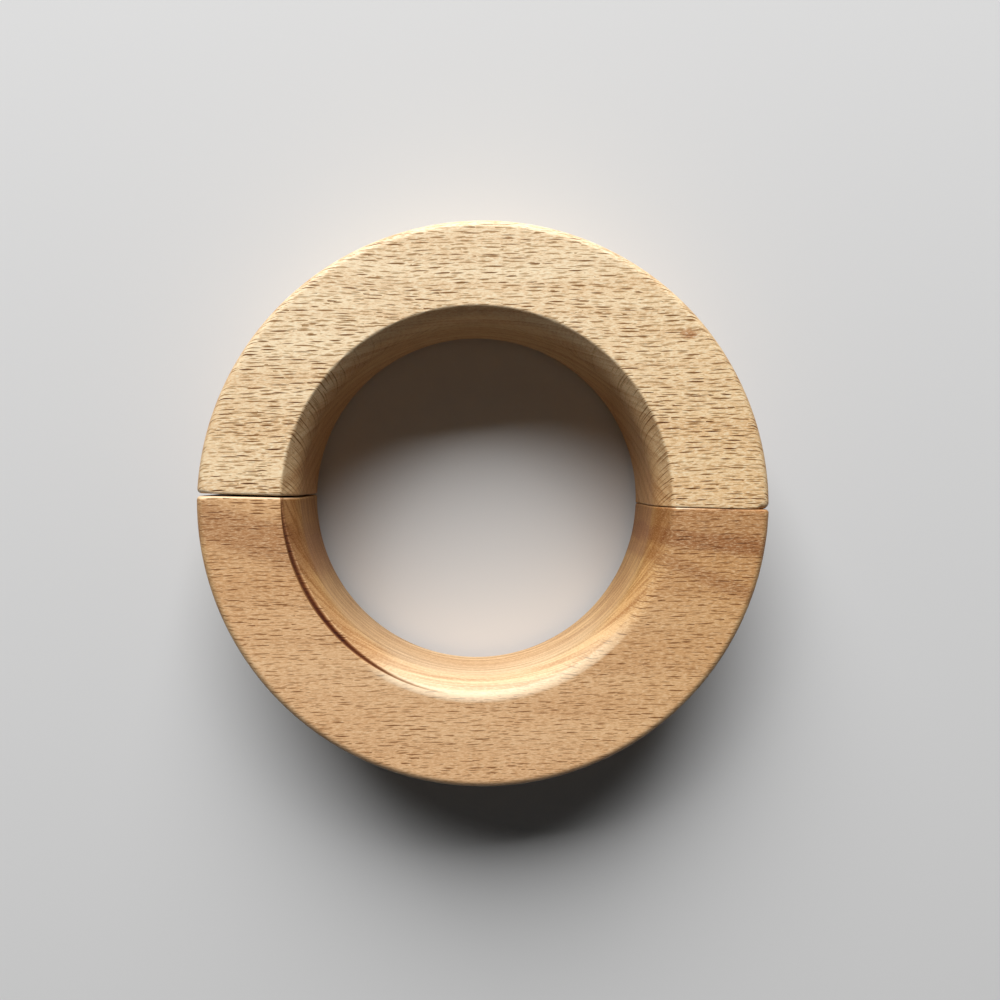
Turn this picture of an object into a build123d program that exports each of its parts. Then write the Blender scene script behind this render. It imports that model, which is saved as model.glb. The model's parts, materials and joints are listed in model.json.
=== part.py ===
from build123d import *
from math import cos, radians
import os

# Ring lying flat on its lower face: rim, bore that the curtain passes through, and thickness
outer_radius = 60.0
bore_radius = 37.5
thickness = 25.0

# Workmanship: what the saw took from each half, and how far the bore stands off the rim's middle
half_kerf = 0.6
bore_left = 1.8
bore_back = 1.0

# Edges: rounded rim, bevelled bore and eased sawn ends
rim_round = 1.8
bevel = 3.2
end_ease = 0.4

# Front half's upper bevel: an eased arris, and a crescent-shaped step where the cutter ran out of true
arris_ease = 0.8
step_depth = 1.2
step_width = 1.1
step_bearing = 214.0
step_half_span = 38.0

# Joint: the ends meet at the right rim and stand this far apart at the left one
left_gap = 0.5

# Disc magnets let into the four ends
magnet_radius = 6.0
magnet_height = 5.0
pocket_clearance = 0.1
magnet_recess = 0.2

# Edges whose radii differ by less than this are taken for the same size
radius_match = 1e-6

# Middles of the band of wood at the two ends, where the magnets stand
end_middles = {
    "left": -(outer_radius + bore_radius + bore_left) / 2,
    "right": (outer_radius + bore_radius - bore_left) / 2,
}

# Planes of the sawn ends, cut through the bore's middle, with their normals pointing into the wood
front_cut = Plane(origin=(0, bore_back, thickness / 2), x_dir=(1, 0, 0), z_dir=(0, -1, 0))
rear_cut = Plane(
    origin=(0, bore_back + left_gap / 2, thickness / 2),
    x_dir=(2 * outer_radius, -left_gap, 0),
    z_dir=(left_gap, 2 * outer_radius, 0),
)

# The step's circle leaves the bevel at both ends of the crescent, so it runs off the bore's axis
step_shift = step_width / (1 - cos(radians(step_half_span)))
step_radius = bore_radius + bevel - step_depth + step_width - step_shift


def circles(part, radius):
    """Circular edges of one radius, on the upper and the lower side of the ring."""
    return part.edges().filter_by(GeomType.CIRCLE).filter_by(lambda e: abs(e.radius - radius) < radius_match)


def half_ring(cut, rim_offset, stepped):
    """One half: the ring is turned and bored whole, then sawn across and drilled for its magnets."""
    with BuildPart() as half:
        with BuildSketch():
            with Locations((0, rim_offset)):
                Circle(outer_radius)
            with Locations((-bore_left, bore_back)):
                Circle(bore_radius, mode=Mode.SUBTRACT)
        extrude(amount=thickness)
        fillet(circles(half, outer_radius), rim_round)
        chamfer(circles(half, bore_radius), bevel)
        if stepped:
            chamfer(circles(half, bore_radius + bevel).sort_by(Axis.Z)[-1], arris_ease)
        split(bisect_by=cut, keep=Keep.TOP)
        chamfer(half.faces().filter_by(cut).edges(), end_ease)
        with BuildSketch(cut):
            with Locations(*[(middle, 0) for middle in end_middles.values()]):
                Circle(magnet_radius + pocket_clearance)
        extrude(amount=magnet_recess + magnet_height, mode=Mode.SUBTRACT)
        if stepped:
            with BuildSketch(Plane.XY.offset(thickness)):
                with Locations((-bore_left, bore_back)):
                    with PolarLocations(step_shift, 1, step_bearing):
                        Circle(step_radius)
            extrude(amount=-step_depth, mode=Mode.SUBTRACT)
    return half.part


def magnet(cut, middle):
    """One disc magnet on the floor of its pocket, its face a little below the sawn end."""
    with BuildPart() as disc:
        with BuildSketch(cut.offset(magnet_recess)):
            with Locations((middle, 0)):
                Circle(magnet_radius)
        extrude(amount=magnet_height)
    return disc.part


# Closed up again, each half's rim is centred past the ring's middle by the wood that the saw took
pieces = {
    "front_half": half_ring(front_cut, half_kerf, stepped=True),
    "rear_half": half_ring(rear_cut, -half_kerf, stepped=False),
}
for side, middle in end_middles.items():
    pieces[f"front_{side}_magnet"] = magnet(front_cut, middle)
    pieces[f"rear_{side}_magnet"] = magnet(rear_cut, middle)

os.makedirs("parts", exist_ok=True)
for name, piece in pieces.items():
    piece.label = name
    export_step(piece, f"parts/{name}.step")
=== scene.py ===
import json
import math

import bmesh
import bpy
from mathutils import Color, Matrix, Vector, noise


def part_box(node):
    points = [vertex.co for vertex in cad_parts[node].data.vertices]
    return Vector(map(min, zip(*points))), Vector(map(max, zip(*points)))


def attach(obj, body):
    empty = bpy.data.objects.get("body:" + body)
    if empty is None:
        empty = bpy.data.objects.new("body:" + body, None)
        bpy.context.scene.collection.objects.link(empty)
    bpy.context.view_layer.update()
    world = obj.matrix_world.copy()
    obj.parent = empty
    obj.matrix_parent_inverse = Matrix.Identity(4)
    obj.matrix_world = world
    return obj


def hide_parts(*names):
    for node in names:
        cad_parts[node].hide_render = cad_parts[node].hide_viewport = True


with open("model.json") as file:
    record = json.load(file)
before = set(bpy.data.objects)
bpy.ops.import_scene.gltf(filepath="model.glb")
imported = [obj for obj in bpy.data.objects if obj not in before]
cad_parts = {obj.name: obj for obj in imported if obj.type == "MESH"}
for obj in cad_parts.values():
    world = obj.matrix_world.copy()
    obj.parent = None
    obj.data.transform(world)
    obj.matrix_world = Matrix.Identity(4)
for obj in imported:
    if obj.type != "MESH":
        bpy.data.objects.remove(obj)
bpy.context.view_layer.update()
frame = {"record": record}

MM = 0.001
record = frame["record"]

# Sizes of the ring in millimetres, from the frame where it gives them
bore = next(m for m in record["mounts"] if m["name"] == "curtain_bore")
low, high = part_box("front_half")
THICKNESS = (high.z - low.z) / MM
OUTER_RADIUS = 60.0
BORE_RADIUS = bore["dims"]["r_mm"]
BORE_CENTRE = Vector((bore["pos_m"][0] / MM, bore["pos_m"][1] / MM))
HALF_KERF = 0.6
LEFT_GAP = 0.5

# Edges of the section
RIM_ROUND = 1.8
BEVEL = 3.2
ARRIS_RADIUS = BORE_RADIUS + BEVEL
CREASE_ROUND = 6.0
LOWER_CREASE_ROUND = 3.0
LOWER_ROUND = 0.9

# Sawn ends: how far out their corners change, how far out and how strongly the right ones are worn pale and
# lit by a painted highlight, how fast the wear and painted highlight fade downwards, and how fast the saw
# marks fade over the eased edge
RIM_END_SHARE = 0.9
RIGHT_WEAR_AND_HIGHLIGHT_SHARE = 0.3
RIGHT_WEAR_AND_HIGHLIGHT_GAIN = 1.6
END_WEAR_AND_HIGHLIGHT_POWER = 4
SAWN_FADE = 2.0

# Step in the front half's upper bevel, and how strongly the cutter scorched it, by bearing in degrees
STEP_DEPTH = 1.2
STEP_BEARING = math.radians(214.0)
STEP_HALF_SPAN = math.radians(38.0)
STEP_SHOULDER = 0.05
BURN_FADE = 0.4
BURN_SHARE = 0.55
BURN_GAIN = 1.8
BURN_STRENGTH = (
    (0, 0.0), (180, 0.45), (198, 0.8), (222, 1.0), (238, 0.85), (248, 0.5), (264, 0.0), (360, 0.0),
)

# Torn fibres along the rear half's upper arris, in tears to a radian
TEARS = 18.0

# Pale wear and painted highlight on the front's upper arris, by bearing in degrees, and their reach from it
ARRIS_WEAR_AND_HIGHLIGHT = ((0, 0.0), (234, 0.0), (246, 1.0), (280, 0.9), (308, 0.75), (328, 0.0), (360, 0.0))
LINE_WEAR_AND_HIGHLIGHT_REACH = 1.4
LINE_WEAR_AND_HIGHLIGHT_POWER = 4
WALL_WEAR_AND_HIGHLIGHT_REACH = 16.0
WALL_WEAR_AND_HIGHLIGHT_POWER = 2
WALL_WEAR_AND_HIGHLIGHT_SHARE = 0.42

# Disc magnets in their pockets
MAGNET_RADIUS = 6.0
MAGNET_HEIGHT = 5.0
MAGNET_ROUND = 0.35
MAGNET_RECESS = 0.2
POCKET_CLEARANCE = 0.1
POCKET_RADIUS = MAGNET_RADIUS + POCKET_CLEARANCE
POCKET_DEPTH = MAGNET_HEIGHT + MAGNET_RECESS
END_MIDDLES = {
    "left": -(OUTER_RADIUS + BORE_RADIUS - BORE_CENTRE.x) / 2,
    "right": (OUTER_RADIUS + BORE_RADIUS + BORE_CENTRE.x) / 2,
}

# Steps of the meshes: along a half, over an eased end, round a circle, and along each stretch of a section
STATIONS = 300
EASE_STEPS = 5
CIRCLE_STEPS = 64
CREASE_STEPS = 8
WALL_STEPS = 9
BEVEL_STEPS = 14
LOWER_STEPS = 6
RIM_STEPS = 10
FLAT_STEPS = 12
MAGNET_STEPS = 6

# Directions and turns in the plane of a section, in degrees
OUT = 0
UP = 90
IN = 180
DOWN_IN = 225
DOWN = 270
EIGHTH = 45
QUARTER = 90
FULL_TURN = 360

# At an edge of the 45 degree bevel: how far off a rounding of radius one starts, and how much of a length
# along the bevel goes outwards
HALF_CORNER = math.tan(math.radians(EIGHTH / 2))
SLOPE = math.cos(math.radians(EIGHTH))


# Section of the ring

def smoothed(share):
    """Share from 0 to 1 that starts and ends gently."""
    return share * share * (3 - 2 * share)


def arc(centre, radius, start, turn, steps):
    """Points of an arc in the plane of a section, both ends included."""
    points = []
    for i in range(steps + 1):
        a = math.radians(start + turn * i / steps)
        points.append((centre[0] + radius * math.cos(a), centre[1] + radius * math.sin(a)))
    return points


def line(start, end, steps):
    """Points strictly between two ends, closer together near them."""
    points = []
    for i in range(1, steps):
        s = (1 - math.cos(math.pi * i / steps)) / 2
        points.append((start[0] + (end[0] - start[0]) * s, start[1] + (end[1] - start[1]) * s))
    return points


def by_bearing(table, bearing):
    """Value at a bearing, smoothly between the ones that a table of degrees and values gives."""
    degrees = math.degrees(bearing) % FULL_TURN
    for (start, first), (end, second) in zip(table, table[1:]):
        if start <= degrees <= end:
            return first + (second - first) * smoothed((degrees - start) / (end - start))
    return table[-1][1]


def eased(half, bearing):
    """Radius of the upper arris's rounding at a bearing, uneven where the fibres tore."""
    ease = by_bearing(half["bevel_rounds"], bearing)
    return ease * (1 + half["torn"] * noise.noise(Vector((TEARS * bearing, 0.0, 0.0))))


def bevel_height(radius, ease):
    """Height of the upper bevel at a radius from the bore's axis, counted from the upper face: 0 or less."""
    tangent = ease * HALF_CORNER
    flat_edge = ARRIS_RADIUS + tangent
    cone_edge = ARRIS_RADIUS - tangent * SLOPE
    if radius >= flat_edge:
        return 0.0
    if radius <= cone_edge:
        return radius - ARRIS_RADIUS
    return -(ease - math.sqrt(ease ** 2 - (flat_edge - radius) ** 2))


def step_depth(bearing):
    """Depth of the step at a bearing, as wide as it is deep: it runs out at both ends of the crescent."""
    off = abs((bearing - STEP_BEARING + math.pi) % math.tau - math.pi)
    end = math.cos(STEP_HALF_SPAN)
    return STEP_DEPTH * (math.cos(min(off, STEP_HALF_SPAN)) - end) / (1 - end)


def burnt(point, bearing):
    """How far the cutter scorched the wood: sharp at the step's shoulder, fading out down the bevel."""
    share, r, z = point
    if share > 0 or z < THICKNESS / 2 or r > ARRIS_RADIUS + STEP_SHOULDER / 2:
        return 0.0
    depth = max(0.0, 1 - (ARRIS_RADIUS - r) / (BURN_FADE + BURN_SHARE * step_depth(bearing)))
    return min(1.0, BURN_GAIN * depth) * by_bearing(BURN_STRENGTH, bearing)


def arris_wear_and_highlight(point, bearing):
    """Pale wear and painted highlight: a line along the upper arris, and a little down the wall."""
    _, r, z = point
    off = math.hypot(r - ARRIS_RADIUS, z - THICKNESS)
    wear = max(0.0, 1 - (off / LINE_WEAR_AND_HIGHLIGHT_REACH) ** LINE_WEAR_AND_HIGHLIGHT_POWER)
    if r < ARRIS_RADIUS:
        wear = max(wear, WALL_WEAR_AND_HIGHLIGHT_SHARE * (1 - (off / WALL_WEAR_AND_HIGHLIGHT_REACH) ** WALL_WEAR_AND_HIGHLIGHT_POWER))
    return wear * by_bearing(ARRIS_WEAR_AND_HIGHLIGHT, bearing)


def upper_bevel(half, bearing):
    """Bevel from the crease to the flat, at one bearing, with the step cut into it on the front half."""
    ease = eased(half, bearing)
    floor = -step_depth(bearing) if half["stepped"] else 0.0
    first = BORE_RADIUS + CREASE_ROUND * HALF_CORNER * SLOPE
    below = ARRIS_RADIUS - STEP_SHOULDER
    above = ARRIS_RADIUS + STEP_SHOULDER
    last = ARRIS_RADIUS + ease * HALF_CORNER
    points = []
    for i in range(BEVEL_STEPS + 1):
        r = first + (below - first) * i / BEVEL_STEPS
        points.append((r, THICKNESS + min(bevel_height(r, ease), floor)))
    for i in range(BEVEL_STEPS + 1):
        r = above + (last - above) * i / BEVEL_STEPS
        points.append((r, THICKNESS + bevel_height(r, ease)))
    return points


def crease(radius, height, start):
    """Rounded crease, an eighth of a turn, between the bore's wall and a bevel."""
    return arc((BORE_RADIUS + radius, height), radius, start, -EIGHTH, CREASE_STEPS)


def section(half, bearing):
    """Closed loop of (share of the way out, radius, height), up along the bore and back down the rim."""
    top = THICKNESS
    flat_in = ARRIS_RADIUS + eased(half, bearing) * HALF_CORNER
    lower_in = ARRIS_RADIUS + LOWER_ROUND * HALF_CORNER
    flat_out = OUTER_RADIUS - RIM_ROUND
    lower_crease = crease(LOWER_CREASE_ROUND, BEVEL + LOWER_CREASE_ROUND * HALF_CORNER, DOWN_IN)
    upper_crease = crease(CREASE_ROUND, top - BEVEL - CREASE_ROUND * HALF_CORNER, IN)
    wall = line(lower_crease[-1], upper_crease[0], WALL_STEPS)
    bevel = upper_bevel(half, bearing)
    upper_rim = arc((flat_out, top - RIM_ROUND), RIM_ROUND, UP, -QUARTER, RIM_STEPS)
    lower_rim = arc((flat_out, RIM_ROUND), RIM_ROUND, OUT, -QUARTER, RIM_STEPS)
    rim = line(upper_rim[-1], lower_rim[0], WALL_STEPS)
    lower_round = arc((lower_in, LOWER_ROUND), LOWER_ROUND, DOWN, -EIGHTH, LOWER_STEPS)
    lower_bevel = line(lower_round[-1], lower_crease[0], LOWER_STEPS)
    loop = [(0.0, r, z) for r, z in lower_crease + wall + upper_crease[:-1] + bevel]
    loop += [(s, r, top) for s, r in line((0.0, flat_in), (1.0, flat_out), FLAT_STEPS)]
    loop += [(1.0, r, z) for r, z in upper_rim + rim + lower_rim]
    loop += [(s, r, 0.0) for s, r in line((1.0, flat_out), (0.0, lower_in), FLAT_STEPS)]
    loop += [(0.0, r, z) for r, z in lower_round + lower_bevel]
    return loop


def rightness(half, turn):
    """From 0 at a half's left end to 1 at its right one."""
    return (1 + turn * half["right_turn"]) / 2


def end_wear_and_highlight(half, turn, point):
    """Pale wear and painted highlight on an end's upper edge: all along the left, only by the bevel on the
    right.
    """
    share, _, z = point
    spot = RIGHT_WEAR_AND_HIGHLIGHT_GAIN * max(0.0, 1 - share / RIGHT_WEAR_AND_HIGHLIGHT_SHARE) if share > 0 else 0.0
    upper = max(0.0, 2 * z / THICKNESS - 1)
    return (1 + (spot - 1) * rightness(half, turn)) * upper ** END_WEAR_AND_HIGHLIGHT_POWER


def end_ease(half, turn, share):
    """How far a sawn end is eased, between the left and the right one: more at the rim's corners."""
    right = rightness(half, turn)
    inner, rim = (a + (b - a) * right for a, b in zip(*half["end_eases"]))
    past = max(0.0, (share - RIM_END_SHARE) / (1 - RIM_END_SHARE))
    return inner + (rim - inner) * smoothed(past)


def shrunk(half, loop, turn, a):
    """The loop moved into the wood, in its own plane, as far as the eased end has turned by an angle."""
    count = len(loop)
    moved = []
    for i, (share, r, z) in enumerate(loop):
        before, after = loop[i - 1], loop[(i + 1) % count]
        tangent = Vector((after[1] - before[1], after[2] - before[2])).normalized()
        amount = end_ease(half, turn, share) * (1 - math.cos(a))
        moved.append((share, r + tangent.y * amount, z - tangent.x * amount))
    return moved


# Sweep of the section along each half

def place(half, point, turn, a):
    """Where a loop point lies: turn runs from -1 at one end to 1 at the other, a from side to end."""
    share, r, z = point
    inset = end_ease(half, turn, share) * (1 - math.sin(a))
    centre = BORE_CENTRE.lerp(half["rim_centre"], share)
    reach = half["inward"].dot(half["cut_point"] - centre) + inset
    bearing = math.atan2(half["inward"].y, half["inward"].x)
    angle = bearing + turn * math.acos(max(-1.0, min(1.0, reach / r)))
    return Vector((centre.x + r * math.cos(angle), centre.y + r * math.sin(angle), z))


def bridge(bm, first, second):
    """Smooth faces between two closed rows of vertices."""
    count = len(first)
    for i in range(count):
        j = (i + 1) % count
        bm.faces.new((first[i], second[i], second[j], first[j])).smooth = True


def sweep_half(name, half):
    """Mesh of one half: the swept section, eased sawn ends, and a pocket for a magnet in each end."""
    bm = bmesh.new()
    middle = math.atan2(half["inward"].y, half["inward"].x)
    wear = bm.verts.layers.float.new("wear")
    arris = bm.verts.layers.float.new("arris")
    burn = bm.verts.layers.float.new("burn")
    sawn = bm.verts.layers.float.new("sawn")
    rings = []

    def ring(turn, a):
        bearing = middle + turn * math.pi / 2
        loop = shrunk(half, section(half, bearing), turn, a)
        verts = [bm.verts.new(place(half, p, turn, a) * MM) for p in loop]
        for vert, point in zip(verts, loop):
            # Pale wear with a painted highlight on the ends' upper edges
            vert[wear] = math.sin(2 * a) * end_wear_and_highlight(half, turn, point)
            if half["stepped"]:
                vert[burn] = burnt(point, bearing)
                # Pale wear with a painted highlight along the upper arris and a little down the wall
                vert[arris] = arris_wear_and_highlight(point, bearing)
            vert[sawn] = max(0.0, 1 - SAWN_FADE * math.cos(a))
        rings.append(verts)

    eases = [math.pi / 2 * i / EASE_STEPS for i in range(1, EASE_STEPS + 1)]
    for a in reversed(eases):
        ring(-1, a)
    for i in range(STATIONS + 1):
        ring(-1 + 2 * i / STATIONS, 0.0)
    for a in eases:
        ring(1, a)

    for first, second in zip(rings, rings[1:]):
        bridge(bm, first, second)
    for loop in (rings[0], rings[-1]):
        close_end(bm, half, loop, sawn)
    bmesh.ops.recalc_face_normals(bm, faces=bm.faces)
    return finished(bm, name)


def end_centre(half, side):
    """Middle of one sawn end, and the unit vector along the cut, both in the frame's millimetres."""
    along = Vector((half["inward"].y, -half["inward"].x))
    along = along if along.x > 0 else -along
    middle = half["cut_point"] + along * END_MIDDLES[side]
    return Vector((middle.x, middle.y, THICKNESS / 2)), along.to_3d()


def circle(centre, along, radius):
    """Points of an upright circle that lies along a cut."""
    up = Vector((0, 0, 1))
    turns = [math.tau * i / CIRCLE_STEPS for i in range(CIRCLE_STEPS)]
    return [centre + (along * math.cos(a) + up * math.sin(a)) * radius for a in turns]


def close_end(bm, half, loop, sawn):
    """Sawn face of one end, with the round pocket that holds its magnet."""
    side = "right" if loop[0].co.x > 0 else "left"
    centre, along = end_centre(half, side)
    inward = half["inward"].to_3d()
    mouth, floor = [], []
    for point in circle(centre, along, POCKET_RADIUS):
        mouth.append(bm.verts.new(point * MM))
        floor.append(bm.verts.new((point + inward * POCKET_DEPTH) * MM))
        mouth[-1][sawn] = floor[-1][sawn] = 1.0
    edges = []
    for verts in (loop, mouth):
        for i in range(len(verts)):
            pair = (verts[i], verts[(i + 1) % len(verts)])
            edges.append(bm.edges.get(pair) or bm.edges.new(pair))
    bmesh.ops.triangle_fill(bm, edges=edges, use_beauty=True, use_dissolve=False)
    bridge(bm, mouth, floor)
    bm.faces.new(floor)


def disc(name, half, side):
    """Mesh of one magnet: a disc with rounded edges, standing on the floor of its pocket."""
    bm = bmesh.new()
    centre, along = end_centre(half, side)
    inward = half["inward"].to_3d()
    inner = MAGNET_RADIUS - MAGNET_ROUND
    profile = arc((inner, MAGNET_ROUND), MAGNET_ROUND, DOWN, QUARTER, MAGNET_STEPS)
    profile += arc((inner, MAGNET_HEIGHT - MAGNET_ROUND), MAGNET_ROUND, OUT, QUARTER, MAGNET_STEPS)
    rings = []
    for r, depth in profile:
        points = circle(centre + inward * (MAGNET_RECESS + depth), along, r)
        rings.append([bm.verts.new(point * MM) for point in points])
    for first, second in zip(rings, rings[1:]):
        bridge(bm, first, second)
    bm.faces.new(rings[0])
    bm.faces.new(rings[-1])
    bmesh.ops.recalc_face_normals(bm, faces=bm.faces)
    return finished(bm, name)


def finished(bm, name):
    """Object of a finished mesh, in the scene."""
    mesh = bpy.data.meshes.new(name)
    bm.to_mesh(mesh)
    bm.free()
    piece = bpy.data.objects.new(name, mesh)
    bpy.context.scene.collection.objects.link(piece)
    return piece


# Each half: rounds of its upper arris by bearing in degrees, and eases of its sawn ends at the bore and at
# the rim, first on the left and then on the right
halves = {
    "front": {
        "inward": Vector((0.0, -1.0)),
        "cut_point": Vector((0.0, BORE_CENTRE.y)),
        "rim_centre": Vector((0.0, HALF_KERF)),
        "bevel_rounds": (
            (180, 0.35), (226, 0.35), (246, 2.6), (266, 3.0), (318, 3.4), (342, 4.2), (360, 1.5),
        ),
        "end_eases": ((0.45, 0.9), (0.45, 0.7)),
        "right_turn": 1,
        "torn": 0.0,
        "stepped": True,
    },
    "rear": {
        "inward": Vector((LEFT_GAP, 2 * OUTER_RADIUS)).normalized(),
        "cut_point": Vector((0.0, BORE_CENTRE.y + LEFT_GAP / 2)),
        "rim_centre": Vector((0.0, -HALF_KERF)),
        "bevel_rounds": ((0, 0.9), (360, 0.9)),
        "end_eases": ((0.45, 0.9), (0.2, 1.5)),
        "right_turn": -1,
        "torn": 1.0,
        "stepped": False,
    },
}
wood = {}
magnets = []
for body, half in halves.items():
    wood[body] = sweep_half(f"{body}_wood", half)
    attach(wood[body], body)
    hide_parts(f"{body}_half")
    for side in END_MIDDLES:
        magnet = disc(f"{body}_{side}_disc", half, side)
        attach(magnet, body)
        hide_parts(f"{body}_{side}_magnet")
        magnets.append(magnet)


# Materials

# Full value of a colour in a picture, the middle of a noise, and the thin layers that make up a dark mark
COLOUR_FULL = 255
NOISE_MIDDLE = 0.5
DEEPEN_LAYERS = 3


def srgb(red, green, blue):
    """A colour as a picture gives it, from 0 to 255, made linear for a material."""
    colour = Color((red / COLOUR_FULL, green / COLOUR_FULL, blue / COLOUR_FULL))
    return (*colour.from_srgb_to_scene_linear(), 1.0)


class Graph:
    """Short names for the nodes that a material is made of."""

    def __init__(self, name):
        self.material = bpy.data.materials.new(name)
        self.material.use_nodes = True
        self.tree = self.material.node_tree
        self.shader = self.tree.nodes["Principled BSDF"]

    def node(self, kind, **settings):
        node = self.tree.nodes.new(kind)
        for key, value in settings.items():
            setattr(node, key, value)
        return node

    def feed(self, socket, value):
        """Links a socket, or sets a plain value."""
        if isinstance(value, bpy.types.NodeSocket):
            self.tree.links.new(value, socket)
        else:
            socket.default_value = value

    def calculate(self, operation, a, b=0.0):
        node = self.node("ShaderNodeMath", operation=operation)
        self.feed(node.inputs[0], a)
        self.feed(node.inputs[1], b)
        return node.outputs[0]

    def add(self, a, b):
        return self.calculate("ADD", a, b)

    def less(self, a, b):
        return self.calculate("SUBTRACT", a, b)

    def times(self, a, b):
        return self.calculate("MULTIPLY", a, b)

    def over(self, a, b):
        return self.calculate("DIVIDE", a, b)

    def most(self, a, b):
        return self.calculate("MAXIMUM", a, b)

    def size(self, a):
        return self.calculate("ABSOLUTE", a)

    def smooth(self, value, low, high, start=0.0, end=1.0):
        """Smooth step from start to end as the value goes from low to high."""
        node = self.node("ShaderNodeMapRange", interpolation_type="SMOOTHSTEP")
        for socket, v in zip(node.inputs, (value, low, high, start, end)):
            self.feed(socket, v)
        return node.outputs[0]

    def span(self, value, start, end):
        """A value of 0 to 1 spread from start to end."""
        return self.add(self.times(value, end - start), start)

    def vector(self, x, y, z):
        node = self.node("ShaderNodeCombineXYZ")
        for socket, v in zip(node.inputs, (x, y, z)):
            self.feed(socket, v)
        return node.outputs[0]

    def parts(self, vector):
        node = self.node("ShaderNodeSeparateXYZ")
        self.feed(node.inputs[0], vector)
        return node.outputs

    def vectors(self, operation, a, b):
        node = self.node("ShaderNodeVectorMath", operation=operation)
        self.feed(node.inputs[0], a)
        self.feed(node.inputs[1], b)
        return node.outputs["Value" if operation == "DOT_PRODUCT" else "Vector"]

    def noise(self, vector, detail=2.0, roughness=0.5):
        node = self.node("ShaderNodeTexNoise")
        self.feed(node.inputs["Vector"], vector)
        node.inputs["Scale"].default_value = 1.0
        node.inputs["Detail"].default_value = detail
        node.inputs["Roughness"].default_value = roughness
        return node.outputs["Fac"]

    def cells(self, vector, randomness):
        node = self.node("ShaderNodeTexVoronoi")
        self.feed(node.inputs["Vector"], vector)
        node.inputs["Scale"].default_value = 1.0
        node.inputs["Randomness"].default_value = randomness
        return node.outputs["Position"], node.outputs["Color"]

    def mix(self, share, a, b, blend="MIX"):
        node = self.node("ShaderNodeMix", data_type="RGBA", blend_type=blend)
        colours = [s for s in node.inputs if s.type == "RGBA"]
        self.feed(node.inputs[0], share)
        self.feed(colours[0], a)
        self.feed(colours[1], b)
        return next(s for s in node.outputs if s.type == "RGBA")

    def tint(self, share, colour, tint):
        """Colour darkened by a share of a tint."""
        return self.mix(share, colour, tint, "MULTIPLY")

    def deepen(self, share, colour, tint):
        """Colour darkened as by thin layers of one tint, so that it gets richer as it gets darker."""
        for _ in range(DEEPEN_LAYERS):
            colour = self.tint(share, colour, tint)
        return colour

    def attribute(self, name):
        return self.node("ShaderNodeAttribute", attribute_name=name).outputs["Fac"]

    def place_and_normal(self):
        """Place on the part in millimetres and the way that the surface faces, in the part's own frame."""
        coords = self.node("ShaderNodeTexCoord")
        scaled = self.node("ShaderNodeVectorMath", operation="SCALE")
        self.feed(scaled.inputs[0], coords.outputs["Object"])
        scaled.inputs["Scale"].default_value = 1 / MM
        return scaled.outputs[0], coords.outputs["Normal"]

    def bump(self, height, strength, distance):
        node = self.node("ShaderNodeBump")
        node.inputs["Strength"].default_value = strength
        node.inputs["Distance"].default_value = distance * MM
        self.feed(node.inputs["Height"], height)
        self.feed(self.shader.inputs["Normal"], node.outputs["Normal"])


# Beech

# Cells in which the fibres wander, in millimetres along, across and up through the part
WIDE_DRIFT = (40.0, 26.0, 26.0)
CLOSE_DRIFT = (11.0, 6.0, 6.0)
DRIFT_DETAIL = 1.0

# Uneven patterns in the wood: cells in millimetres along the fibres, across the rays and out from the heart
NOISES = {
    "broad": {"cell": (45.0, 12.0, 5.0), "seed": 0.0, "detail": 2.0, "roughness": 0.5},
    "years": {"cell": (90.0, 40.0, 4.5), "seed": 2.0, "detail": 1.0, "roughness": 0.5},
    "strand": {"cell": (40.0, 9.0, 0.55), "seed": 4.0, "detail": 2.0, "roughness": 0.6},
    "fibre": {"cell": (0.9, 0.2, 0.3), "seed": 0.0, "detail": 3.0, "roughness": 0.65},
    "wobble": {"cell": (16.0, 2.2, 6.0), "seed": 5.0, "detail": 2.0, "roughness": 0.5},
    "uneven": {"cell": (2.0, 0.8, 1.5), "seed": 8.0, "detail": 2.0, "roughness": 0.5},
}

# Where these patterns start and end to show
BROAD_LIMITS = (0.32, 0.68)
STRAND_LIMITS = (0.46, 0.62)
DARK_FIBRE_LIMITS = (0.47, 0.7)
LIGHT_FIBRE_LIMITS = (0.53, 0.3)

# How much the growth layers waver, in layers, and where in a layer the late wood comes and goes
BROAD_WAVER = 0.5
YEARS_WAVER = 1.8
LATE_COMES = (0.35, 0.92)
LATE_GOES = (1.0, 0.93)

# How level a face is, from 0 upright to 1 flat, where each of these changes, and what upright faces keep of
# the fibres
LAYERS_LEVEL = (0.55, 0.95)
STRANDS_LEVEL = (0.95, 0.7)
# Where upright faces take their painted shade
UPRIGHT_PAINTED_SHADE_LEVEL = (0.6, 0.1)
FIBRE_LEVEL = (0.6, 0.97)
WALL_FIBRE_SHARE = 0.6

# Flecks: how they scatter, their lengths and girths against the usual ones, and their soft edges
FLECK_SCATTER = 0.8
FLECK_LENGTHS = (0.5, 1.0)
FLECK_GIRTHS = (0.7, 1.3)
FLECK_EDGE = (0.6, 1.05)
MAIN_FLECK_SEED = 3.7
SMALL_FLECK_SEED = 11.3

# Ray sheets that a face lies along show hardly any flecks
SHEET_FACING = (0.75, 0.97)
FACING_FLECKS = 0.1

# Reddish streaks and stains
STREAK_CORE = 0.35
STAIN_RAGGED = 1.2
STAIN_EDGE = (0.1, 1.0)

# Millimetres sideways, or away from the split, where each change along the part starts and ends
SPLIT_REACH = (45.0, 5.0)
RIGHT_REACH = (5.0, 60.0)
FLECK_REACH = (48.0, 8.0)
STREAK_REACH = (8.0, 30.0)
JOINT_PAINTED_SHADE_REACH = (14.0, 4.0)
LEFT_PAINTED_SHADE_REACH = (0.0, -20.0)

# Darker cut fibre ends, and painted shade on slopes and on faces of the bore that look back towards its
# middle
END_GRAIN_POWER = 3.0
SLOPE_GAIN = 2.0
WALL_SHADE_SHARE = 0.6
BACK_LOOK = (0.0, -12.0)

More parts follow.
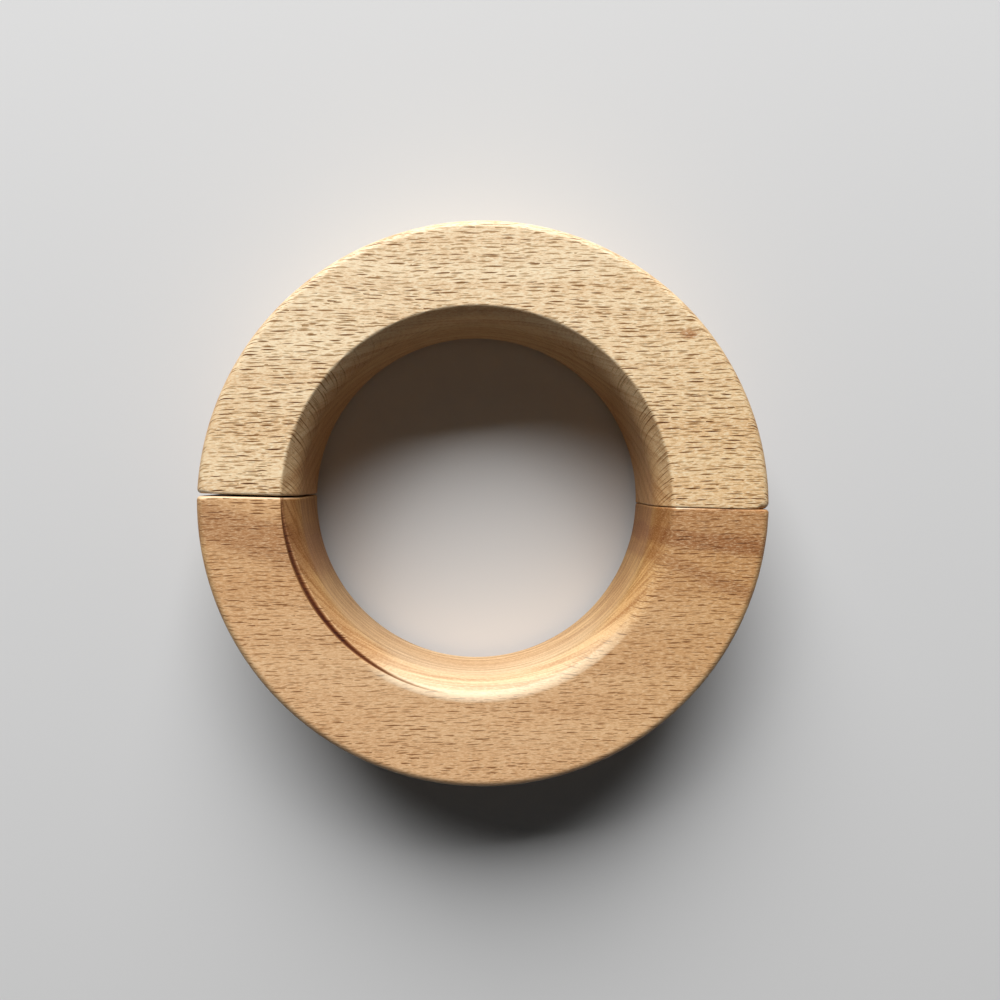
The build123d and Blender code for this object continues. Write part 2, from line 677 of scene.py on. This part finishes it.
# Surface: roughness of the grain and the burn, saw marks on the ends, and relief in millimetres
GRAIN_ROUGHNESS = 0.1
BURN_ROUGHNESS = 0.4
COAT_ROUGHNESS = 0.3
SAW_MARK_GAP = 0.22
SAW_MARK_SLANT = 0.12
SAW_RELIEF = 2.0
FIBRE_RELIEF = 0.4
RELIEF_STRENGTH = 0.2
RELIEF_DEPTH = 0.06


class Grain:
    """Place in the wood, in millimetres: along the fibres, across the rays and out from the tree's heart."""

    def __init__(self, g, look):
        place, self.normal = g.place_and_normal()
        self.x, self.y, z = g.parts(place)
        wide = g.less(g.noise(g.vectors("DIVIDE", place, WIDE_DRIFT), DRIFT_DETAIL), NOISE_MIDDLE)
        close = g.less(g.noise(g.vectors("DIVIDE", place, CLOSE_DRIFT), DRIFT_DETAIL), NOISE_MIDDLE)
        drift = g.add(g.times(wide, look["wander"]), g.times(close, look["ripple"]))
        across = g.add(g.less(self.y, g.times(self.x, look["rise"])), drift)
        tilt = look["ray_tilt"]
        self.t = g.less(g.times(across, math.cos(tilt)), g.times(z, math.sin(tilt)))
        self.r = g.add(g.times(across, math.sin(tilt)), g.times(z, math.cos(tilt)))
        sheet = g.vectors("DOT_PRODUCT", self.normal, (0.0, math.cos(tilt), -math.sin(tilt)))
        self.edge_on = g.smooth(g.size(sheet), *SHEET_FACING, 1.0, FACING_FLECKS)
        self.level = g.size(g.parts(self.normal)[2])

    def stretched(self, g, cell, seed):
        """The place measured in cells of a size along the fibres, across the rays and out from the heart."""
        along, across, out = cell
        return g.vector(
            g.add(g.times(self.x, 1 / along), seed),
            g.add(g.times(self.t, 1 / across), seed),
            g.add(g.times(self.r, 1 / out), seed),
        )

    def noise(self, g, name):
        """One of the uneven patterns in the wood."""
        pattern = NOISES[name]
        spot = self.stretched(g, pattern["cell"], pattern["seed"])
        return g.noise(spot, pattern["detail"], pattern["roughness"])


def growth(g, grain, look):
    """Colour of the growth layers, and of the strands that show on upright faces."""
    broad = grain.noise(g, "broad")
    waver = g.add(g.times(broad, BROAD_WAVER), g.times(grain.noise(g, "years"), YEARS_WAVER))
    ring = g.calculate("FRACT", g.add(g.times(grain.r, 1 / look["layer_gap"]), waver))
    late = g.times(g.smooth(ring, *LATE_COMES), g.smooth(ring, *LATE_GOES))
    shown = g.smooth(grain.level, *LAYERS_LEVEL, look["layer_depth"], look["flat_layer_depth"])
    colour = g.mix(g.smooth(broad, *BROAD_LIMITS, 0.0, look["broad_depth"]), look["pale"], look["deep"])
    colour = g.mix(g.times(late, shown), colour, look["late"])
    strand = g.smooth(grain.noise(g, "strand"), *STRAND_LIMITS)
    standing = g.smooth(grain.level, *STRANDS_LEVEL, 0.0, look["strand_depth"])
    return g.mix(g.times(strand, standing), colour, look["late"])


def heartwood(g, grain, streaks):
    """Reddish streaks through the wood, each along a line, stronger towards one side of the ring."""
    wobble = g.less(grain.noise(g, "wobble"), NOISE_MIDDLE)
    total = 0.0
    for streak in streaks:
        line_y = g.add(g.times(g.less(grain.x, streak["x"]), streak["slope"]), streak["y"])
        off = g.add(g.less(grain.y, line_y), g.times(wobble, streak["ragged"]))
        core = STREAK_CORE * streak["half_width"]
        band = g.smooth(g.size(off), core, streak["half_width"], streak["strength"], 0.0)
        near = g.smooth(g.times(grain.x, math.copysign(1, streak["x"])), *STREAK_REACH)
        total = g.most(total, g.times(band, near))
    return total


def stained(g, grain, stains):
    """Small soft marks on the wood, each an uneven oval."""
    uneven = g.less(grain.noise(g, "uneven"), NOISE_MIDDLE)
    total = 0.0
    for stain in stains:
        dx = g.times(g.less(grain.x, stain["x"]), 1 / stain["half_length"])
        dy = g.times(g.less(grain.y, stain["y"]), 1 / stain["half_width"])
        oval = g.add(g.add(g.times(dx, dx), g.times(dy, dy)), g.times(uneven, STAIN_RAGGED))
        total = g.most(total, g.smooth(oval, *STAIN_EDGE, stain["strength"], 0.0))
    return total


def tinted(g, grain, look, colour):
    """Colour near the split, to the right, in streaks and stains, and painted shade on upright faces."""
    colour = g.tint(g.smooth(g.size(grain.y), *SPLIT_REACH), colour, look["near_split"])
    colour = g.tint(g.smooth(grain.x, *RIGHT_REACH), colour, look["right"])
    # Painted shade on upright faces
    colour = g.tint(g.smooth(grain.level, *UPRIGHT_PAINTED_SHADE_LEVEL), colour, look["upright"])
    colour = g.mix(heartwood(g, grain, look["heart_streaks"]), colour, look["heart"])
    return g.mix(stained(g, grain, look["stains"]), colour, look["heart"])


def flecks(g, grain, size, seed):
    """Cut rays: dark lens shapes along the fibres, one to a cell, each with its own length and strength."""
    spot = grain.stretched(g, size["cell"], seed)
    centre, chance = g.cells(spot, FLECK_SCATTER)
    red, green, blue = g.parts(chance)
    dx, dt, _ = g.parts(g.vectors("SUBTRACT", spot, centre))
    along, across, _ = size["cell"]
    reach = g.over(g.times(dx, 2 * along / size["length"]), g.span(red, *FLECK_LENGTHS))
    girth = g.over(g.times(g.size(dt), 2 * across / size["thickness"]), g.span(green, *FLECK_GIRTHS))
    body = g.add(girth, g.times(reach, reach))
    return g.times(g.smooth(body, *FLECK_EDGE, 1.0, 0.0), g.span(blue, size["faintest"], 1.0))


def all_flecks(g, grain, look):
    """Long and short flecks, fainter far from the split and on upright faces."""
    main = g.times(flecks(g, grain, look["main_fleck"], MAIN_FLECK_SEED), look["main_depth"])
    small = g.times(flecks(g, grain, look["small_fleck"], SMALL_FLECK_SEED), look["small_depth"])
    cut_clean = g.smooth(grain.level, *look["fleck_level"], look["wall_flecks"], 1.0)
    near = g.smooth(g.size(grain.y), *FLECK_REACH, look["far_flecks"], 1.0)
    return g.times(g.times(g.most(main, small), near), g.times(grain.edge_on, cut_clean))


def shaded(g, grain, look, colour):
    """Darker cut fibre ends, and painted shade on slopes and in the bore by the joints and on the left."""
    nx, _, _ = g.parts(grain.normal)
    sideways = g.size(nx)
    colour = g.tint(g.calculate("POWER", sideways, END_GRAIN_POWER), colour, look["end"])
    # Painted shade on slopes
    sloping = g.times(g.times(sideways, grain.level), SLOPE_GAIN)
    colour = g.tint(sloping, colour, look["sloping"])
    steep = g.most(sloping, g.times(sideways, WALL_SHADE_SHARE))
    in_bore = g.times(steep, g.smooth(g.times(nx, grain.x), *BACK_LOOK))
    # Painted shade in the bore beside the joints
    by_joint = g.times(in_bore, g.smooth(g.size(grain.y), *JOINT_PAINTED_SHADE_REACH))
    colour = g.tint(by_joint, colour, look["by_joint"])
    # Painted shade in the bore on the left
    on_left = g.times(in_bore, g.smooth(grain.x, *LEFT_PAINTED_SHADE_REACH))
    return g.tint(on_left, colour, look["on_left"])


def beech(name, look):
    """Oiled beech: growth layers, fine fibres and the flecks of its rays, all solid through the wood."""
    g = Graph(name)
    grain = Grain(g, look)
    colour = tinted(g, grain, look, growth(g, grain, look))

    fibre = grain.noise(g, "fibre")
    full = look["fibre_depth"]
    depth = g.smooth(grain.level, *FIBRE_LEVEL, WALL_FIBRE_SHARE * full, full)
    colour = g.tint(g.times(g.smooth(fibre, *DARK_FIBRE_LIMITS), depth), colour, look["dark_fibre"])
    colour = g.mix(g.times(g.smooth(fibre, *LIGHT_FIBRE_LIMITS), depth), colour, look["light"])

    fleck = all_flecks(g, grain, look)
    colour = g.deepen(fleck, colour, look["fleck"])
    # Pale wear with a painted highlight on the ends' upper edges
    colour = g.mix(g.times(g.attribute("wear"), look["wear_depth"]), colour, look["worn"])
    # Pale wear with a painted highlight along the front's upper arris
    colour = g.mix(g.times(g.attribute("arris"), look["arris_depth"]), colour, look["bare"])
    burn = g.attribute("burn")
    colour = g.deepen(burn, colour, look["burnt"])
    g.feed(g.shader.inputs["Base Color"], shaded(g, grain, look, colour))

    rough = g.add(g.times(g.add(fleck, fibre), GRAIN_ROUGHNESS), look["roughness"])
    g.feed(g.shader.inputs["Roughness"], g.add(rough, g.times(burn, BURN_ROUGHNESS)))
    g.shader.inputs["Specular IOR Level"].default_value = look["gloss"]
    g.shader.inputs["Coat Weight"].default_value = look["coat"]
    g.shader.inputs["Coat Roughness"].default_value = COAT_ROUGHNESS
    marks = g.noise(g.vector(g.times(grain.x, 1 / SAW_MARK_GAP), 0.0, g.times(grain.r, SAW_MARK_SLANT)))
    saw = g.times(g.times(marks, g.attribute("sawn")), SAW_RELIEF)
    pores = g.less(g.times(fibre, FIBRE_RELIEF), fleck)
    g.bump(g.add(pores, saw), RELIEF_STRENGTH, RELIEF_DEPTH)
    return g.material


# Wood of each half: colours and tints, the run of its grain, depths from 0 to 1, and sizes in millimetres
LOOKS = {
    "rear": {
        "pale": srgb(251, 227, 189), "deep": srgb(236, 199, 152), "late": srgb(196, 148, 98),
        "light": srgb(255, 248, 220), "dark_fibre": srgb(200, 170, 128), "fleck": srgb(180, 153, 106),
        "heart": srgb(178, 118, 66), "burnt": srgb(182, 152, 118),
        # Pale wear with a painted highlight, first on the sawn ends and then on the upper arris
        "worn": srgb(252, 236, 208), "bare": srgb(250, 238, 215),
        # Tints; those on upright faces, on slopes, and in the bore by the joints and on the left are painted
        # shade
        "near_split": srgb(252, 247, 240), "right": srgb(247, 240, 228), "upright": srgb(228, 228, 226),
        "end": srgb(234, 214, 190), "sloping": srgb(230, 231, 230),
        "by_joint": srgb(251, 246, 240), "on_left": srgb(255, 255, 255),
        "wander": 2.4, "ripple": 0.5, "rise": 0.035, "ray_tilt": math.radians(45),
        "layer_gap": 3.4, "layer_depth": 0.4, "flat_layer_depth": 0.15, "broad_depth": 0.5,
        "strand_depth": 0.32, "fibre_depth": 0.5, "main_depth": 1.0, "small_depth": 0.5,
        "wear_depth": 0.9, "arris_depth": 0.0,
        "wall_flecks": 0.26, "far_flecks": 0.82, "fleck_level": (0.5, 0.9),
        "main_fleck": {"length": 5.2, "thickness": 0.21, "cell": (4.8, 0.7, 14.0), "faintest": 0.3},
        "small_fleck": {"length": 2.8, "thickness": 0.2, "cell": (2.6, 0.6, 8.0), "faintest": 0.0},
        "roughness": 0.42, "gloss": 0.24, "coat": 0.06,
        "heart_streaks": (),
        "stains": ({"x": 41.1, "y": 37.2, "half_length": 2.4, "half_width": 1.3, "strength": 0.8},),
    },
    "front": {
        "pale": srgb(232, 190, 144), "deep": srgb(206, 153, 102), "late": srgb(168, 114, 64),
        "light": srgb(250, 218, 176), "dark_fibre": srgb(204, 178, 148), "fleck": srgb(196, 178, 156),
        "heart": srgb(138, 80, 40), "burnt": srgb(182, 152, 118),
        # Pale wear with a painted highlight, first on the sawn ends and then on the upper arris
        "worn": srgb(244, 220, 186), "bare": srgb(250, 238, 212),
        # Tints; those on upright faces, on slopes, and in the bore by the joints and on the left are painted
        # shade
        "near_split": srgb(240, 233, 222), "right": srgb(243, 238, 225), "upright": srgb(242, 251, 252),
        "end": srgb(248, 238, 208), "sloping": srgb(238, 243, 238),
        "by_joint": srgb(230, 218, 208), "on_left": srgb(229, 221, 216),
        "wander": 2.0, "ripple": 0.4, "rise": 0.03, "ray_tilt": math.radians(-17.5),
        "layer_gap": 2.5, "layer_depth": 0.5, "flat_layer_depth": 0.12, "broad_depth": 0.35,
        "strand_depth": 0.62, "fibre_depth": 0.48, "main_depth": 0.8, "small_depth": 0.5,
        "wear_depth": 0.6, "arris_depth": 0.42,
        "wall_flecks": 0.08, "far_flecks": 0.95, "fleck_level": (0.6, 0.97),
        "main_fleck": {"length": 4.8, "thickness": 0.25, "cell": (4.6, 0.95, 9.0), "faintest": 0.15},
        "small_fleck": {"length": 2.2, "thickness": 0.2, "cell": (2.4, 0.65, 6.0), "faintest": 0.0},
        "roughness": 0.4, "gloss": 0.24, "coat": 0.06,
        "heart_streaks": (
            {"x": -50.0, "y": -6.6, "slope": -0.3, "half_width": 6.0, "ragged": 4.0, "strength": 0.45},
            {"x": 40.0, "y": -2.0, "slope": -0.05, "half_width": 8.0, "ragged": 4.0, "strength": 0.35},
            {"x": 40.0, "y": -5.2, "slope": -0.1, "half_width": 3.4, "ragged": 3.0, "strength": 0.66},
            {"x": 40.0, "y": -11.0, "slope": -0.39, "half_width": 2.4, "ragged": 2.0, "strength": 0.36},
        ),
        "stains": (),
    },
}
for body, piece in wood.items():
    piece.data.materials.append(beech(f"{body}_beech", LOOKS[body]))


# Nickel plating: waves to a millimetre of its scratches and haze, its colours and its roughness
SCRATCH_WAVES = (1.2, 3.0, 14.0)
SCRATCH_DETAIL = 4.0
SCRATCH_ROUGHNESS = 0.7
SCRATCH_LIMITS = (0.3, 0.75)
SCRATCH_STRENGTH = 0.12
SCRATCH_DEPTH = 0.02
HAZE_WAVES = (0.35, 0.35, 0.35)
NICKEL_DULL = srgb(196, 194, 188)
NICKEL_BRIGHT = srgb(216, 214, 208)
NICKEL_ROUGHNESS = (0.14, 0.34)


def nickel():
    """Bright nickel plating, with the fine scratches that a magnet picks up."""
    g = Graph("magnet_plating")
    place, _ = g.place_and_normal()
    scratch = g.noise(g.vectors("MULTIPLY", place, SCRATCH_WAVES), SCRATCH_DETAIL, SCRATCH_ROUGHNESS)
    haze = g.noise(g.vectors("MULTIPLY", place, HAZE_WAVES))
    g.feed(g.shader.inputs["Base Color"], g.mix(haze, NICKEL_DULL, NICKEL_BRIGHT))
    g.shader.inputs["Metallic"].default_value = 1.0
    g.feed(g.shader.inputs["Roughness"], g.smooth(scratch, *SCRATCH_LIMITS, *NICKEL_ROUGHNESS))
    g.bump(scratch, SCRATCH_STRENGTH, SCRATCH_DEPTH)
    return g.material


plating = nickel()
for magnet in magnets:
    magnet.data.materials.append(plating)


# Floor, light and camera

# Plain pale floor that throws back as little light as a grey one
FLOOR_SIZE = 4.0
FLOOR_SEEN = (0.66, 0.66, 0.66, 1.0)
FLOOR_BOUNCE = (0.08, 0.08, 0.08, 1.0)
FLOOR_ROUGHNESS = 0.8
FLOOR_GLOSS = 0.2


def seen(tree):
    """1 where a surface is looked at, also as a reflection, and 0 where it only gives light to others."""
    path = tree.nodes.new("ShaderNodeLightPath").outputs
    share = path["Is Camera Ray"]
    for name in ("Is Glossy Ray", "Is Transmission Ray"):
        either = tree.nodes.new("ShaderNodeMath")
        either.operation = "MAXIMUM"
        tree.links.new(share, either.inputs[0])
        tree.links.new(path[name], either.inputs[1])
        share = either.outputs[0]
    return share


def floor_material():
    """Floor that is pale where it is seen, and darker in the light that it throws back."""
    g = Graph("floor")
    g.feed(g.shader.inputs["Base Color"], g.mix(seen(g.tree), FLOOR_BOUNCE, FLOOR_SEEN))
    g.shader.inputs["Roughness"].default_value = FLOOR_ROUGHNESS
    g.shader.inputs["Specular IOR Level"].default_value = FLOOR_GLOSS
    return g.material


floor_mesh = bpy.data.meshes.new("floor")
edge = FLOOR_SIZE / 2
corners = [(-edge, -edge, 0), (edge, -edge, 0), (edge, edge, 0), (-edge, edge, 0)]
floor_mesh.from_pydata(corners, [], [tuple(range(len(corners)))])
floor =bpy.data.objects.new("floor", floor_mesh)
bpy.context.scene.collection.objects.link(floor)
floor_mesh.materials.append(floor_material())

# Large soft window beyond the rear half, low enough to leave the bore's rear wall in shade
WINDOW_SIZE = (2.0, 1.24)
WINDOW_AZIMUTH = math.radians(99)
WINDOW_ELEVATION = math.radians(30)
WINDOW_DISTANCE = 2.0
WINDOW_WATTS = 88.0
window_data = bpy.data.lights.new("window", "AREA")
window_data.shape = "RECTANGLE"
window_data.size, window_data.size_y = WINDOW_SIZE
window_data.energy = WINDOW_WATTS
window = bpy.data.objects.new("window", window_data)
bpy.context.scene.collection.objects.link(window)
window.location = WINDOW_DISTANCE * Vector((
    math.cos(WINDOW_AZIMUTH) * math.cos(WINDOW_ELEVATION),
    math.sin(WINDOW_AZIMUTH) * math.cos(WINDOW_ELEVATION),
    math.sin(WINDOW_ELEVATION),
))
window.rotation_euler = (-window.location).to_track_quat("-Z", "Y").to_euler()

# Room round the part
ROOM_COLOUR = (1.0, 1.0, 1.0, 1.0)
ROOM_LIGHT = 0.025
ROOM_SEEN = 0.7


def room():
    """World that is pale where it is seen, and that lights the part only faintly."""
    world = bpy.data.worlds.new("room")
    world.use_nodes = True
    tree = world.node_tree
    background = tree.nodes["Background"]
    background.inputs["Color"].default_value = ROOM_COLOUR
    strength = tree.nodes.new("ShaderNodeMapRange")
    strength.inputs["To Min"].default_value = ROOM_LIGHT
    strength.inputs["To Max"].default_value = ROOM_SEEN
    tree.links.new(seen(tree), strength.inputs["Value"])
    tree.links.new(strength.outputs["Result"], background.inputs["Strength"])
    return world


bpy.context.scene.world = room()

# Camera of the photograph: over the ring, a little left and behind its middle, looking down
CAMERA_PLACE = Vector((-3.763, 7.27, 180.726))
CAMERA_TILT = (math.radians(-2.125), math.radians(-2.288), math.radians(1.482))
CAMERA_SENSOR = 36.0
CAMERA_LENS = 27.0
CAMERA_NEAREST = 0.01
camera_data = bpy.data.cameras.new("camera")
camera_data.sensor_width = CAMERA_SENSOR
camera_data.lens = CAMERA_LENS
camera_data.clip_start = CAMERA_NEAREST
camera = bpy.data.objects.new("camera", camera_data)
bpy.context.scene.collection.objects.link(camera)
camera_turn = Matrix.Identity(4)
for angle, axis in zip(CAMERA_TILT, "XYZ"):
    camera_turn = Matrix.Rotation(angle, 4, axis) @ camera_turn
camera.matrix_world = Matrix.Translation(CAMERA_PLACE * MM) @ camera_turn
bpy.context.scene.camera = camera
bpy.context.scene.view_settings.view_transform = "Standard"
